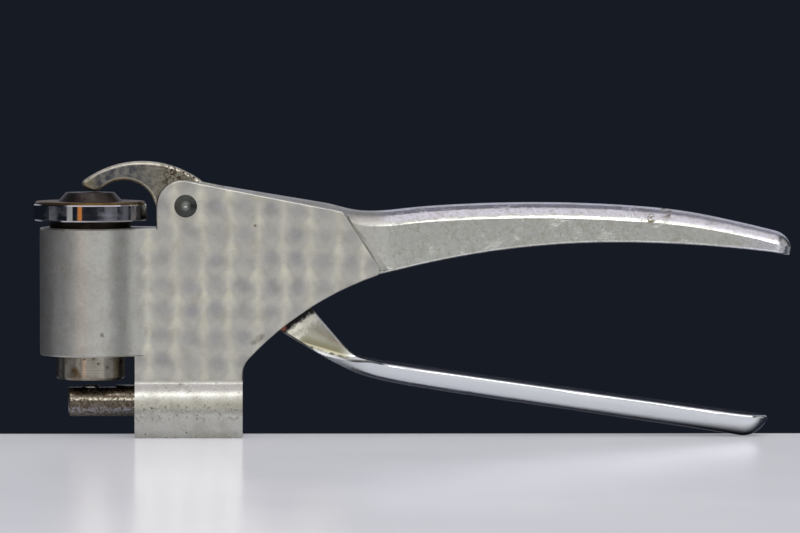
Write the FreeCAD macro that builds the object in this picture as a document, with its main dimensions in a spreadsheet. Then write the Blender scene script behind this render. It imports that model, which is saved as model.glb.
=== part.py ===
import FreeCAD, Part
import math
import os

import Sketcher

# Hand-squeezed badge press, in millimetres.
# The origin is on the foot's base, close to its middle. +X runs to the handle tips and +Z is up.
# The mid-plane of the casting and of the lever is Y = 0.

doc = FreeCAD.newDocument("BadgePress")
sheet = doc.addObject("Spreadsheet::Sheet", "Dims")

driving = {
    # Casting: slab and lug cheeks
    "slab_thick": 20.0,
    "slab_left": -13.5,
    "slab_inside_z": 9.5,
    "lug_left": -12.3,
    "lug_peak": 92.0,
    "lug_round": 9.0,
    "shoulder_x": 52.9,
    "shoulder_z": 79.2,
    "shoulder_round": 3.0,
    "root_x": 67.0,
    "root_z": 57.5,
    "root_round": 2.0,
    "belly_radius": 110.9,
    "heel_z": 25.2,
    "heel_round": 8.0,
    "rim_round": 0.7,
    # Casting: barrel
    "barrel_x": -35.55,
    "barrel_radius": 17.7,
    "barrel_blend": 17.0,
    "barrel_bottom": 28.6,
    "barrel_top": 73.2,
    "barrel_edge": 0.5,
    "floor_bottom": 50.0,
    "floor_top": 54.0,
    "chamber_radius": 14.6,
    # Casting: foot
    "foot_left": -19.8,
    "foot_right": 17.8,
    "foot_radius": 14.2,
    "foot_axis_z": 9.1,
    "foot_cove": 2.0,
    # Casting: crown of the slab and upper handle
    "crown_z": 89.6,
    "crown_slope": 0.166,
    "crown_half": 8.8,
    "crown_rise": 3.4,
    "crown_depth": 14.0,
    "crown_end_x": 47.0,
    "top_join_x": 72.0,
    "under_join_x": 74.0,
    "grip_full_x": 64.0,
    "grip_round_x": 150.0,
    "grip_taper_x": 165.0,
    "grip_apex_x": 120.0,
    "grip_apex_z": 82.1,
    "grip_radius": 500.0,
    "grip_turn_x": 157.0,
    "grip_turn_radius": 341.0,
    "under_apex_x": 148.0,
    "under_apex_z": 68.28,
    "under_radius": 298.0,
    "under_end_radius": 430.0,
    "grip_half": 8.0,
    "grip_crown": 5.3,
    "grip_edge": 0.8,
    "grip_tip_x": 203.6,
    "grip_tip_z": 68.5,
    "grip_tip_half": 7.0,
    "grip_tip_rise": 3.75,
    "grip_tip_crown": 4.4,
    "grip_tip_edge": 0.8,
    "grip_tilt": 11.0,
    # Casting: slope from the slab's end down to the grip
    "slope_top_z": 77.6,
    "slope_top_reach": 0.8,
    "slope_top_half": 6.5,
    "slope_z": 72.0,
    "slope_reach": 1.4,
    "slope_half": 7.8,
    "slope_foot_z": 58.6,
    "slope_foot_reach": 2.6,
    # Casting: slot for the lever
    "slot_width": 10.6,
    "slot_left": -14.0,
    "slot_over": 96.0,
    "slot_floor": 75.8,
    "slot_heel_x": -9.8,
    "slot_heel_z": 65.5,
    "slot_exit_x": 33.0,
    "slot_exit_z": 32.9,
    "slot_mouth_x": 53.0,
    "slot_mouth_z": 47.6,
    "slot_back_x": 11.4,
    "slot_back_z": 84.9,
    # Lever: pivot and hook
    "pivot_x": -2.0,
    "pivot_z": 81.0,
    "pin_radius": 3.97,
    "pin_dome": 0.45,
    "lever_thick": 9.4,
    "hook_axis_x": -17.4,
    "hook_axis_z": 61.75,
    "hook_radius": 34.6,
    "hook_tip_x": -38.6,
    "hook_end_x": 8.55,
    "hook_rim": 1.2,
    "throat_axis_x": -23.64,
    "throat_axis_z": 78.87,
    "throat_radius": 11.1,
    "throat_end_x": -13.2,
    "throat_start_x": -30.5,
    "nose_x": -33.65,
    "nose_z": 85.48,
    "nose_round": 2.5,
    "nose_back_x": -37.9,
    "nose_back_z": 87.3,
    "hook_tip_round": 1.6,
    "boss_heel_x": -8.6,
    "boss_heel_z": 73.2,
    "boss_heel_round": 4.0,
    "plate_slope": 1.134,
    "plate_end_x": 27.0,
    "plate_end_z": 40.0,
    # Lever: neck and lower handle
    "web_half": 4.5,
    "neck_top_slope": 1.2,
    "neck_top_blend": 3.0,
    "neck_low_x": 36.0,
    "neck_low_z": 33.3,
    "neck_low_slope": 0.62,
    "neck_low_blend": 4.8,
    "neck_dish": 1.3,
    "neck_dish_least": 0.13,
    "web_flange": 0.1,
    "web_start_x": 21.0,
    "web_end_x": 30.0,
    "flange_start_x": 32.0,
    "flange_rise_x": 45.0,
    "flange_top_x": 63.5,
    "dish_fade_x": 42.0,
    "top_widen_x": 45.0,
    "dish_flat_x": 60.0,
    "dish_end_x": 64.0,
    "flange_full_x": 66.0,
    "top_full_x": 70.0,
    "flange_low": 0.06,
    "flange_high": 0.885,
    "roll_bow": 1.05,
    "lever_top_x": 81.8,
    "lever_top_z": 23.8,
    "lever_top_slope": 0.1419,
    "lever_low_x": 114.9,
    "lever_low_z": 11.4,
    "lever_low_slope": 0.1455,
    "lever_half": 9.0,
    "lever_roll": 0.8,
    "lever_tip_x": 192.6,
    "lever_tip_low": 0.12,
    "lever_tip_high": 8.1,
    "lever_tilt": 6.0,
    # Ram and what it carries
    "head_radius": 12.2,
    "head_bottom": 20.2,
    "head_top": 49.7,
    "head_chamfer": 0.8,
    "stem_radius": 7.0,
    "stem_top": 78.75,
    "shank_radius": 4.0,
    "shank_bottom": 62.0,
    "shank_play": 0.1,
    "die_radius": 9.0,
    "die_top": 26.0,
    "die_cup_radius": 7.2,
    "die_cup_depth": 0.8,
    "die_screw_radius": 1.5,
    "die_screw_z": 23.4,
    "die_screw_end": 11.6,
    "cup_radius": 14.2,
    "cup_wall": 1.2,
    "cup_skirt": 66.0,
    "cup_plate": 73.6,
    "disc_radius": 20.0,
    "disc_bottom": 75.75,
    "disc_top": 81.6,
    "disc_bevel": 0.45,
    "plate_radius": 19.3,
    "plate_top": 82.4,
    "button_radius": 11.4,
    "button_top_radius": 8.5,
    "button_top": 85.5,
    # Guides and spring in the barrel
    "running_fit": 0.05,
    "sleeve_radius": 14.5,
    "bush_radius": 9.5,
    "bush_flange": 12.5,
    "bush_flange_thick": 1.5,
    "seat_radius": 12.8,
    "seat_thick": 0.8,
    "coil_radius": 10.6,
    "wire_radius": 0.9,
    "coil_turns": 5.5,
    "coil_end_gap": 0.2,
    # Horn in the foot
    "anvil_radius": 5.55,
    "anvil_z": 12.45,
    "anvil_tip_x": -43.2,
    "anvil_root_x": 6.0,
    "anvil_chamfer": 0.6,
    "anvil_flat_z": 17.1,
    "anvil_flat_end": -26.5,
    "peg_radius": 3.0,
    "peg_top": 18.0,
    "grub_x": -4.0,
    "grub_radius": 2.5,
    "grub_inset": 0.8,
    "driver_slot": 0.8,
    "driver_depth": 1.2,
    # Lever bearing
    "bush_outer": 5.5,
    "washer_radius": 8.0,
    "washer_thick": 0.5,
}

# Sections of the two lofts: how many, and how fast their spacing grows
grip_sections = 13
grip_growth = 1.1
lever_sections = 24
lever_growth = 1.3

for row, (alias, size) in enumerate(driving.items(), start=1):
    sheet.set(f"A{row}", alias)
    sheet.set(f"B{row}", str(size))
    sheet.setAlias(f"B{row}", alias)
doc.recompute()


# Helpers that draw sketches bound to the sheet

def dim(text):
    # Names of sizes become references to the sheet, so that every sketch follows it.
    words = "".join(c if c.isalnum() or c == "_" else " " for c in text).split()
    for word in sorted(set(words) & set(driving), key=len, reverse=True):
        text = replace_word(text, word)
    return text


def replace_word(text, word):
    pieces = []
    start = 0
    while True:
        at = text.find(word, start)
        if at < 0:
            pieces.append(text[start:])
            return "".join(pieces)
        before = text[at - 1] if at else " "
        after = text[at + len(word)] if at + len(word) < len(text) else " "
        whole = not (before.isalnum() or before in "_." or after.isalnum() or after == "_")
        pieces.append(text[start:at] + ("Dims." if whole else "") + word)
        start = at + len(word)


def value(text):
    return float(sheet.evalExpression(dim(str(text))))


def new_body(label, x=None, z=None):
    body = doc.addObject("PartDesign::Body", label)
    body.Label = label
    if x:
        body.setExpression("Placement.Base.x", dim(x))
    if z:
        body.setExpression("Placement.Base.z", dim(z))
    return body


def new_sketch(body, name, role, shift=None, tilt=None):
    sketch = body.newObject("Sketcher::SketchObject", name)
    plane = next(f for f in body.Origin.OriginFeatures if f.Role == role)
    sketch.AttachmentSupport = [(plane, "")]
    sketch.MapMode = "FlatFace"
    if tilt:
        turn = FreeCAD.Rotation(FreeCAD.Vector(1, 0, 0), value(tilt))
        sketch.AttachmentOffset = FreeCAD.Placement(FreeCAD.Vector(), turn)
        sketch.setExpression("AttachmentOffset.Rotation.Angle", dim(tilt))
    for axis, text in (shift or {}).items():
        sketch.setExpression(f"AttachmentOffset.Base.{axis}", dim(text))
    return sketch


def pin_point(sketch, geo, spot, x, y):
    for kind, axis, text in (("DistanceX", -2, x), ("DistanceY", -1, y)):
        size = value(text)
        if abs(size) < 1e-9:
            sketch.addConstraint(Sketcher.Constraint("PointOnObject", geo, spot, axis))
        else:
            index = sketch.addConstraint(Sketcher.Constraint(kind, -1, 1, geo, spot, size))
            sketch.setExpression(f"Constraints[{index}]", dim(str(text)))


def circle(sketch, x, y, radius):
    spot = FreeCAD.Vector(value(x), value(y), 0)
    geo = sketch.addGeometry(Part.Circle(spot, FreeCAD.Vector(0, 0, 1), value(radius)), False)
    pin_point(sketch, geo, 3, x, y)
    index = sketch.addConstraint(Sketcher.Constraint("Radius", geo, value(radius)))
    sketch.setExpression(f"Constraints[{index}]", dim(radius))


def arc_between(here, there, radius, side):
    # An arc of under a half circle, with its centre to the left (1) or right (-1) of the way.
    half = (there - here) * 0.5
    left = FreeCAD.Vector(-half.y, half.x, 0).normalize()
    centre = here + half + left * (side * math.sqrt(radius ** 2 - half.Length ** 2))
    first, last = (here, there) if side > 0 else (there, here)
    angles = [math.atan2(p.y - centre.y, p.x - centre.x) for p in (first, last)]
    return Part.ArcOfCircle(Part.Circle(centre, FreeCAD.Vector(0, 0, 1), radius), *angles)


def outline(sketch, corners):
    # A corner is (x, y), or (x, y, radius, side) where an arc leads to the next corner.
    spots = [FreeCAD.Vector(value(c[0]), value(c[1]), 0) for c in corners]
    ends = []
    for i, corner in enumerate(corners):
        here = spots[i]
        there = spots[(i + 1) % len(spots)]
        if len(corner) == 2:
            geo = sketch.addGeometry(Part.LineSegment(here, there), False)
            ends.append((geo, 1, 2))
        else:
            radius, side = corner[2:]
            geo = sketch.addGeometry(arc_between(here, there, value(radius), side), False)
            ends.append((geo, 1, 2) if side > 0 else (geo, 2, 1))
    for i, (geo, start, end) in enumerate(ends):
        follower = ends[(i + 1) % len(ends)]
        sketch.addConstraint(Sketcher.Constraint("Coincident", geo, end, follower[0], follower[1]))
        pin_point(sketch, geo, start, corners[i][0], corners[i][1])
        if len(corners[i]) > 2:
            radius = corners[i][2]
            index = sketch.addConstraint(Sketcher.Constraint("Radius", geo, value(radius)))
            sketch.setExpression(f"Constraints[{index}]", dim(str(radius)))


def feature(body, kind, name, sketch, length=None, symmetric=False, backwards=False):
    made = body.newObject("PartDesign::" + kind, name)
    made.Profile = sketch
    if length:
        made.setExpression("Length", dim(length))
    if symmetric:
        made.SideType = "Symmetric"
    made.Reversed = backwards
    doc.recompute()
    return made


def spin(body, kind, name, sketch, angle=360, backwards=False):
    made = body.newObject("PartDesign::" + kind, name)
    made.Profile = sketch
    made.ReferenceAxis = (sketch, ["V_Axis"])
    made.Angle = angle
    made.Reversed = backwards
    doc.recompute()
    return made


def loft(body, name, sections):
    made = body.newObject("PartDesign::AdditiveLoft", name)
    made.Profile = sections[0]
    made.Sections = sections[1:]
    doc.recompute()
    return made


def edges_near(base, places):
    names = []
    for place in places:
        spot = Part.Vertex(FreeCAD.Vector(*[value(p) for p in place]))
        gaps = [edge.distToShape(spot)[0] for edge in base.Shape.Edges]
        names.append(f"Edge{gaps.index(min(gaps)) + 1}")
    return sorted(set(names))


def soften(body, kind, name, places, size):
    base = body.Tip
    made = body.newObject("PartDesign::" + kind, name)
    made.Base = (base, edges_near(base, places))
    made.setExpression("Radius" if kind == "Fillet" else "Size", dim(size))
    doc.recompute()
    return made


def turned(label, corners, x=None, z=None, role="XZ_Plane"):
    body = new_body(label, x, z)
    sketch = new_sketch(body, label + "_profile", role)
    outline(sketch, corners)
    spin(body, "Revolution", label + "_turning", sketch)
    return body


def ease(x, start, end):
    # Rises smoothly from 0 at start to 1 at end.
    part = min(max((x - value(start)) / (value(end) - value(start)), 0.0), 1.0)
    return part * part * (3 - 2 * part)


def stations(start, end, count, growth):
    # Places for the sections of a loft, closer together near its start.
    span = value(end) - value(start)
    return [round(value(start) + span * (i / count) ** growth, 2) for i in range(count)]


def between(first, second, share):
    return f"(({first}) * {1 - share:.4f} + ({second}) * {share:.4f})"


# Casting: slab, lug cheeks, barrel and foot

def casting_blank():
    body = new_body("frame_casting")
    slab = new_sketch(body, "slab_outline", "XZ_Plane")
    outline(slab, [
        ("foot_left", "slab_inside_z"),
        ("foot_left", "barrel_bottom"),
        ("slab_left", "barrel_bottom"),
        ("slab_left", "barrel_top"),
        ("lug_left", "barrel_top"),
        ("lug_left", "lug_peak"),
        ("shoulder_x", "shoulder_z"),
        ("root_x", "root_z", "belly_radius", 1),
        ("foot_right", "heel_z"),
        ("foot_right", "slab_inside_z"),
    ])
    feature(body, "Pad", "slab", slab, "slab_thick", symmetric=True)
    soften(body, "Fillet", "lug_corner", [("lug_left", 0, "lug_peak")], "lug_round")
    soften(body, "Fillet", "shoulder_corner", [("shoulder_x", 0, "shoulder_z")], "shoulder_round")
    soften(body, "Fillet", "root_corner", [("root_x", 0, "root_z")], "root_round")
    soften(body, "Fillet", "heel_corner", [("foot_right", 0, "heel_z")], "heel_round")
    # The rounding runs on along the edges that pass smoothly into this one.
    top_edge = ("(lug_left + shoulder_x) / 2", "slab_thick / 2", "(lug_peak + shoulder_z) / 2")
    far_edge = (top_edge[0], "-slab_thick / 2", top_edge[2])
    soften(body, "Fillet", "rim", [top_edge, far_edge], "rim_round")

    reach = "(barrel_radius + barrel_blend)"
    blend_x = f"sqrt({reach}^2 - (slab_thick / 2 + barrel_blend)^2)"
    touch_x = f"barrel_x + barrel_radius / {reach} * {blend_x}"
    touch_y = f"barrel_radius / {reach} * (slab_thick / 2 + barrel_blend)"
    plan = new_sketch(body, "barrel_plan", "XY_Plane", {"z": "barrel_bottom"})
    outline(plan, [
        ("slab_left + 1", "-slab_thick / 2"),
        ("slab_left + 1", "slab_thick / 2"),
        (f"barrel_x + {blend_x}", "slab_thick / 2", "barrel_blend", -1),
        (touch_x, touch_y, "barrel_radius", 1),
        ("barrel_x - barrel_radius", "0", "barrel_radius", 1),
        (touch_x, f"-({touch_y})", "barrel_blend", -1),
        (f"barrel_x + {blend_x}", "-slab_thick / 2"),
    ])
    feature(body, "Pad", "barrel", plan, "barrel_top - barrel_bottom")

    flat = "sqrt(foot_radius^2 - foot_axis_z^2)"
    foot = new_sketch(body, "foot_section", "YZ_Plane", {"z": "foot_left"})
    outline(foot, [
        (f"-{flat}", "0"),
        (flat, "0", "foot_radius", 1),
        ("0", "foot_axis_z + foot_radius", "foot_radius", 1),
    ])
    feature(body, "Pad", "foot", foot, "foot_right - foot_left")
    cove_y = "(slab_thick / 2 + foot_cove)"
    cove_rise = f"sqrt((foot_radius + foot_cove)^2 - {cove_y}^2)"
    on_foot = "foot_radius / (foot_radius + foot_cove)"
    cove = new_sketch(body, "cove_section", "YZ_Plane", {"z": "foot_left"})
    inside = "slab_thick / 2 - foot_cove"
    outline(cove, [
        (f"-({inside})", "foot_axis_z"),
        (inside, "foot_axis_z"),
        (f"{cove_y} * {on_foot}", f"foot_axis_z + {cove_rise} * {on_foot}", "foot_cove", -1),
        ("slab_thick / 2", f"foot_axis_z + {cove_rise}"),
        ("-slab_thick / 2", f"foot_axis_z + {cove_rise}", "foot_cove", -1),
        (f"-{cove_y} * {on_foot}", f"foot_axis_z + {cove_rise} * {on_foot}"),
    ])
    feature(body, "Pad", "foot_blend", cove, "foot_right - foot_left")
    return body


# Casting: crown of the slab and upper handle, one loft of rounded sections

def grip_top(x):
    drop = f"({x} - grip_apex_x)^2 / (2 * grip_radius)"
    if x > value("grip_turn_x"):
        drop += f" + ({x} - grip_turn_x)^2 / (2 * grip_turn_radius)"
    return f"(grip_apex_z - ({drop}))"


def grip_under(x):
    bend = "under_radius" if x < value("under_apex_x") else "under_end_radius"
    return f"(under_apex_z - ({x} - under_apex_x)^2 / (2 * {bend}))"


def grip_corners(half, low, high, crown, edge):
    spring = f"{high} - {crown}"
    bow = f"(({half})^2 + ({crown})^2) / (2 * ({crown}))"
    return [
        (f"-({half} - {edge})", low),
        (f"{half} - {edge}", low, edge, 1),
        (half, f"{low} + {edge}"),
        (half, spring, bow, 1),
        (f"-({half})", spring),
        (f"-({half})", f"{low} + {edge}", edge, 1),
    ]


def grip_section(body, x):
    # Over the slab the section is only a low crown, and it becomes the full grip past the root.
    to_grip = ease(x, "crown_end_x", "grip_full_x")
    line = f"(crown_z - crown_slope * {x})"
    high = between(line, grip_top(x), ease(x, "crown_end_x", "top_join_x"))
    low = between(f"{line} - crown_depth", grip_under(x), ease(x, "0", "under_join_x"))
    taper = ease(x, "grip_taper_x", "grip_tip_x + grip_tip_half")
    half = between(between("crown_half", "grip_half", to_grip), "grip_tip_half", taper)
    rounding = ease(x, "grip_round_x", "grip_tip_x")
    crown = between(between("crown_rise", "grip_crown", to_grip), "grip_tip_crown", rounding)
    sketch = new_sketch(body, f"grip_at_{x:.0f}", "YZ_Plane", {"z": str(x)})
    outline(sketch, grip_corners(half, low, high, crown, "grip_edge"))
    return sketch


def upper_handle(body):
    start = grip_section(body, 0)
    places = stations("crown_end_x", "grip_tip_x", grip_sections, grip_growth)
    sections = [grip_section(body, x) for x in places]
    spot = {"z": "grip_tip_x", "y": "grip_tip_z"}
    end = new_sketch(body, "grip_end", "YZ_Plane", spot, "grip_tilt")
    corners = grip_corners("grip_tip_half", "-grip_tip_rise", "grip_tip_rise", "grip_tip_crown",
                           "grip_tip_edge")
    outline(end, corners)
    loft(body, "crown", [start, sections[0]])
    loft(body, "handle", sections + [end])

    half = new_sketch(body, "grip_end_half", "YZ_Plane", spot, "grip_tilt")
    bow = "(grip_tip_half^2 + grip_tip_crown^2) / (2 * grip_tip_crown)"
    outline(half, [
        ("0", "-grip_tip_rise"),
        ("grip_tip_half - grip_tip_edge", "-grip_tip_rise", "grip_tip_edge", 1),
        ("grip_tip_half", "-grip_tip_rise + grip_tip_edge"),
        ("grip_tip_half", "grip_tip_rise - grip_tip_crown", bow, 1),
        ("0", "grip_tip_rise"),
    ])
    spin(body, "Revolution", "handle_tip", half, 180, backwards=True)


def end_slope(body):
    # The slab is wider than the grip, and its end slopes down to the grip's sides.
    sections = []
    for height, reach, half in [
        ("slope_top_z", "slope_top_reach", "slope_top_half"),
        ("slope_z", "slope_reach", "slope_half"),
        ("slope_foot_z", "slope_foot_reach", "slope_half"),
    ]:
        end = f"(shoulder_x + (shoulder_z - {height}) * (root_x - shoulder_x) / (shoulder_z - root_z))"
        sketch = new_sketch(body, height.replace("_z", "_section"), "XY_Plane", {"z": height})
        outline(sketch, [
            (f"{end} - rim_round / 4", "-(slab_thick / 2 - rim_round)"),
            (f"{end} + {reach}", f"-{half}"),
            (f"{end} + {reach}", half),
            (f"{end} - rim_round / 4", "slab_thick / 2 - rim_round"),
        ])
        sections.append(sketch)
    loft(body, "end_slope", sections)


# Casting: slot, bores and holes

def casting_cuts(body):
    slot = new_sketch(body, "slot_outline", "XZ_Plane")
    outline(slot, [
        ("slot_left", "slot_over"),
        ("slot_left", "slot_floor"),
        ("slot_heel_x - 2", "slot_floor"),
        ("slot_heel_x", "slot_heel_z"),
        ("slot_exit_x", "slot_exit_z"),
        ("slot_mouth_x", "slot_mouth_z"),
        ("slot_back_x", "slot_back_z"),
        ("slot_back_x", "slot_over"),
    ])
    feature(body, "Pocket", "slot", slot, "slot_width", symmetric=True)

    bore = new_sketch(body, "bore_profile", "XZ_Plane", {"x": "barrel_x"})
    outline(bore, [
        ("0", "barrel_bottom - 1"),
        ("sleeve_radius", "barrel_bottom - 1"),
        ("sleeve_radius", "floor_bottom"),
        ("bush_radius", "floor_bottom"),
        ("bush_radius", "floor_top"),
        ("chamber_radius", "floor_top"),
        ("chamber_radius", "barrel_top + 1"),
        ("0", "barrel_top + 1"),
    ])
    spin(body, "Groove", "bore", bore)

    pin_hole = new_sketch(body, "pin_hole_outline", "XZ_Plane")
    circle(pin_hole, "pivot_x", "pivot_z", "pin_radius")
    feature(body, "Pocket", "pin_hole", pin_hole, "slab_thick * 2", symmetric=True)

    horn_hole = new_sketch(body, "horn_hole_outline", "YZ_Plane", {"z": "anvil_root_x"})
    circle(horn_hole, "0", "anvil_z", "anvil_radius")
    feature(body, "Pocket", "horn_hole", horn_hole, "anvil_root_x - foot_left + 1")

    grub_hole = new_sketch(body, "grub_hole_outline", "XY_Plane")
    circle(grub_hole, "grub_x", "0", "grub_radius")
    feature(body, "Pocket", "grub_hole", grub_hole, "anvil_z - anvil_radius + 1", backwards=True)


def casting():
    body = casting_blank()
    upper_handle(body)
    end_slope(body)
    casting_cuts(body)
    soften(body, "Chamfer", "barrel_ends", [("barrel_x - barrel_radius", "0", "barrel_bottom"),
                                            ("barrel_x - barrel_radius", "0", "barrel_top")], "barrel_edge")
    return body


# Lever: hook and boss plate, dished neck and lower handle

def on_hook(x):
    return f"hook_axis_z + sqrt(hook_radius^2 - ({x} - hook_axis_x)^2)"


def in_throat(x):
    return f"throat_axis_z + sqrt(throat_radius^2 - ({x} - throat_axis_x)^2)"


def smooth_max(first, second, blend):
    return f"(({first} + {second} + sqrt(({first} - {second})^2 + {blend}^2)) / 2)"


def lever_top(x):
    neck = f"({on_hook('hook_end_x')} - neck_top_slope * ({x} - hook_end_x))"
    grip = f"(lever_top_z - lever_top_slope * ({x} - lever_top_x))"
    return smooth_max(neck, grip, "neck_top_blend")


def lever_under(x):
    neck = f"(neck_low_z - neck_low_slope * ({x} - neck_low_x))"
    grip = f"(lever_low_z - lever_low_slope * ({x} - lever_low_x))"
    return smooth_max(neck, grip, "neck_low_blend")


def lever_corners(top_half, flange_half, low, flange, high, side_bow, side):
    keel = f"(({flange_half})^2 + ({flange} - {low})^2) / (2 * ({flange} - {low}))"
    return [
        (f"-({top_half})", high, side_bow, side),
        (f"-({flange_half})", flange, keel, 1),
        ("0", low, keel, 1),
        (flange_half, flange, side_bow, side),
        (top_half, high),
    ]


def lever_section(body, x):
    high = lever_top(x)
    low = lever_under(x)
    rise = ease(x, "flange_rise_x", "flange_top_x")
    flange = between(low, high, value("flange_low") * (1 - rise) + value("flange_high") * rise)
    flange_half = between("web_half + web_flange", "lever_half", ease(x, "flange_start_x", "flange_full_x"))
    top_half = between("web_half", "lever_half - lever_roll", ease(x, "top_widen_x", "top_full_x"))
    chord = f"sqrt(({flange_half} - {top_half})^2 + ({high} - {flange})^2)"
    if x < value("dish_end_x"):
        dish = between("neck_dish", "neck_dish_least", ease(x, "dish_fade_x", "dish_flat_x"))
        bow = f"({chord})^2 / (8 * {dish}) + {dish} / 2"
        side = -1
    else:
        bow = f"{chord} * roll_bow"
        side = 1
    sketch = new_sketch(body, f"lever_at_{x:.0f}", "YZ_Plane", {"z": str(x)})
    outline(sketch, lever_corners(top_half, flange_half, low, flange, high, bow, side))
    return sketch


def lever():
    body = new_body("press_lever")
    plate = new_sketch(body, "hook_outline", "XZ_Plane")
    plate_high = f"{on_hook('hook_end_x')} - plate_slope * (plate_end_x - hook_end_x)"
    outline(plate, [
        ("hook_tip_x", on_hook("hook_tip_x"), "hook_radius", -1),
        ("hook_end_x", on_hook("hook_end_x")),
        ("plate_end_x", plate_high),
        ("plate_end_x", "plate_end_z"),
        ("boss_heel_x", "boss_heel_z"),
        ("throat_end_x", in_throat("throat_end_x"), "throat_radius", 1),
        ("throat_start_x", in_throat("throat_start_x")),
        ("nose_x", "nose_z"),
        ("nose_back_x", "nose_back_z"),
    ])
    feature(body, "Pad", "hook", plate, "lever_thick", symmetric=True)
    soften(body, "Fillet", "nose", [("nose_x", "0", "nose_z")], "nose_round")
    soften(body, "Fillet", "boss_heel", [("boss_heel_x", "0", "boss_heel_z")], "boss_heel_round")
    tip = [("hook_tip_x", "0", on_hook("hook_tip_x")), ("nose_back_x", "0", "nose_back_z")]
    soften(body, "Fillet", "hook_tip", tip, "hook_tip_round")
    back = ("hook_axis_x", "lever_thick / 2", "hook_axis_z + hook_radius")
    far_back = ("hook_axis_x", "-lever_thick / 2", "hook_axis_z + hook_radius")
    soften(body, "Fillet", "hook_rim", [back, far_back], "hook_rim")

    start = lever_section(body, value("web_start_x"))
    places = stations("web_end_x", "lever_tip_x", lever_sections, lever_growth)
    sections = [lever_section(body, x) for x in places]
    spot = {"z": "lever_tip_x"}
    edge = "lever_tip_high - lever_roll"
    end = new_sketch(body, "lever_end", "YZ_Plane", spot, "lever_tilt")
    roll = "lever_roll * sqrt(2) * roll_bow"
    outline(end, lever_corners("lever_half - lever_roll", "lever_half", "lever_tip_low", edge,
                               "lever_tip_high", roll, 1))
    loft(body, "web", [start, sections[0]])
    loft(body, "neck_and_grip", sections + [end])

    half = new_sketch(body, "lever_end_half", "YZ_Plane", spot, "lever_tilt")
    keel = f"(lever_half^2 + ({edge} - lever_tip_low)^2) / (2 * ({edge} - lever_tip_low))"
    outline(half, [
        ("0", "lever_tip_low", keel, 1),
        ("lever_half", edge, roll, 1),
        ("lever_half - lever_roll", "lever_tip_high"),
        ("0", "lever_tip_high"),
    ])
    spin(body, "Revolution", "lever_tip", half, 180, backwards=True)

    hole = new_sketch(body, "bush_hole_outline", "XZ_Plane")
    circle(hole, "pivot_x", "pivot_z", "bush_outer")
    feature(body, "Pocket", "bush_hole", hole, "lever_thick * 2", symmetric=True)
    return body


# Pivot: pin, bush and washers

def pivot():
    half = "slab_thick / 2"
    bow = "(pin_radius^2 + pin_dome^2) / (2 * pin_dome)"
    pin = turned("pivot_pin", [
        ("0", f"-{half}", bow, 1),
        ("pin_radius", f"-{half} + pin_dome"),
        ("pin_radius", f"{half} - pin_dome", bow, 1),
        ("0", half),
    ], "pivot_x", "pivot_z", "XY_Plane")
    bush = turned("lever_bush", [
        ("pin_radius + running_fit", "-lever_thick / 2"),
        ("bush_outer", "-lever_thick / 2"),
        ("bush_outer", "lever_thick / 2"),
        ("pin_radius + running_fit", "lever_thick / 2"),
    ], "pivot_x", "pivot_z", "XY_Plane")
    return [pin, bush, washers()]


def washers():
    rings = []
    for name, side in (("near", -1), ("far", 1)):
        disc = doc.addObject("Part::Cylinder", f"washer_{name}_disc")
        hole = doc.addObject("Part::Cylinder", f"washer_{name}_hole")
        turn = FreeCAD.Rotation(FreeCAD.Vector(1, 0, 0), 90)
        middle = "(lever_thick + slot_width) / 4"
        for cylinder, radius in ((disc, "washer_radius"), (hole, "pin_radius + running_fit * 2")):
            cylinder.Placement = FreeCAD.Placement(FreeCAD.Vector(), turn)
            cylinder.setExpression("Radius", dim(radius))
            cylinder.setExpression("Height", dim("washer_thick"))
            cylinder.setExpression("Placement.Base.x", dim("pivot_x"))
            cylinder.setExpression("Placement.Base.y", dim(f"{middle} * {side} + washer_thick / 2"))
            cylinder.setExpression("Placement.Base.z", dim("pivot_z"))
        ring = doc.addObject("Part::Cut", f"washer_{name}")
        ring.Base = disc
        ring.Tool = hole
        rings.append(ring)
    pair = doc.addObject("Part::Compound", "lever_washers")
    pair.Label = "lever_washers"
    pair.Links = rings
    return pair


# Ram, its die and the pieces stacked on its stem

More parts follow.
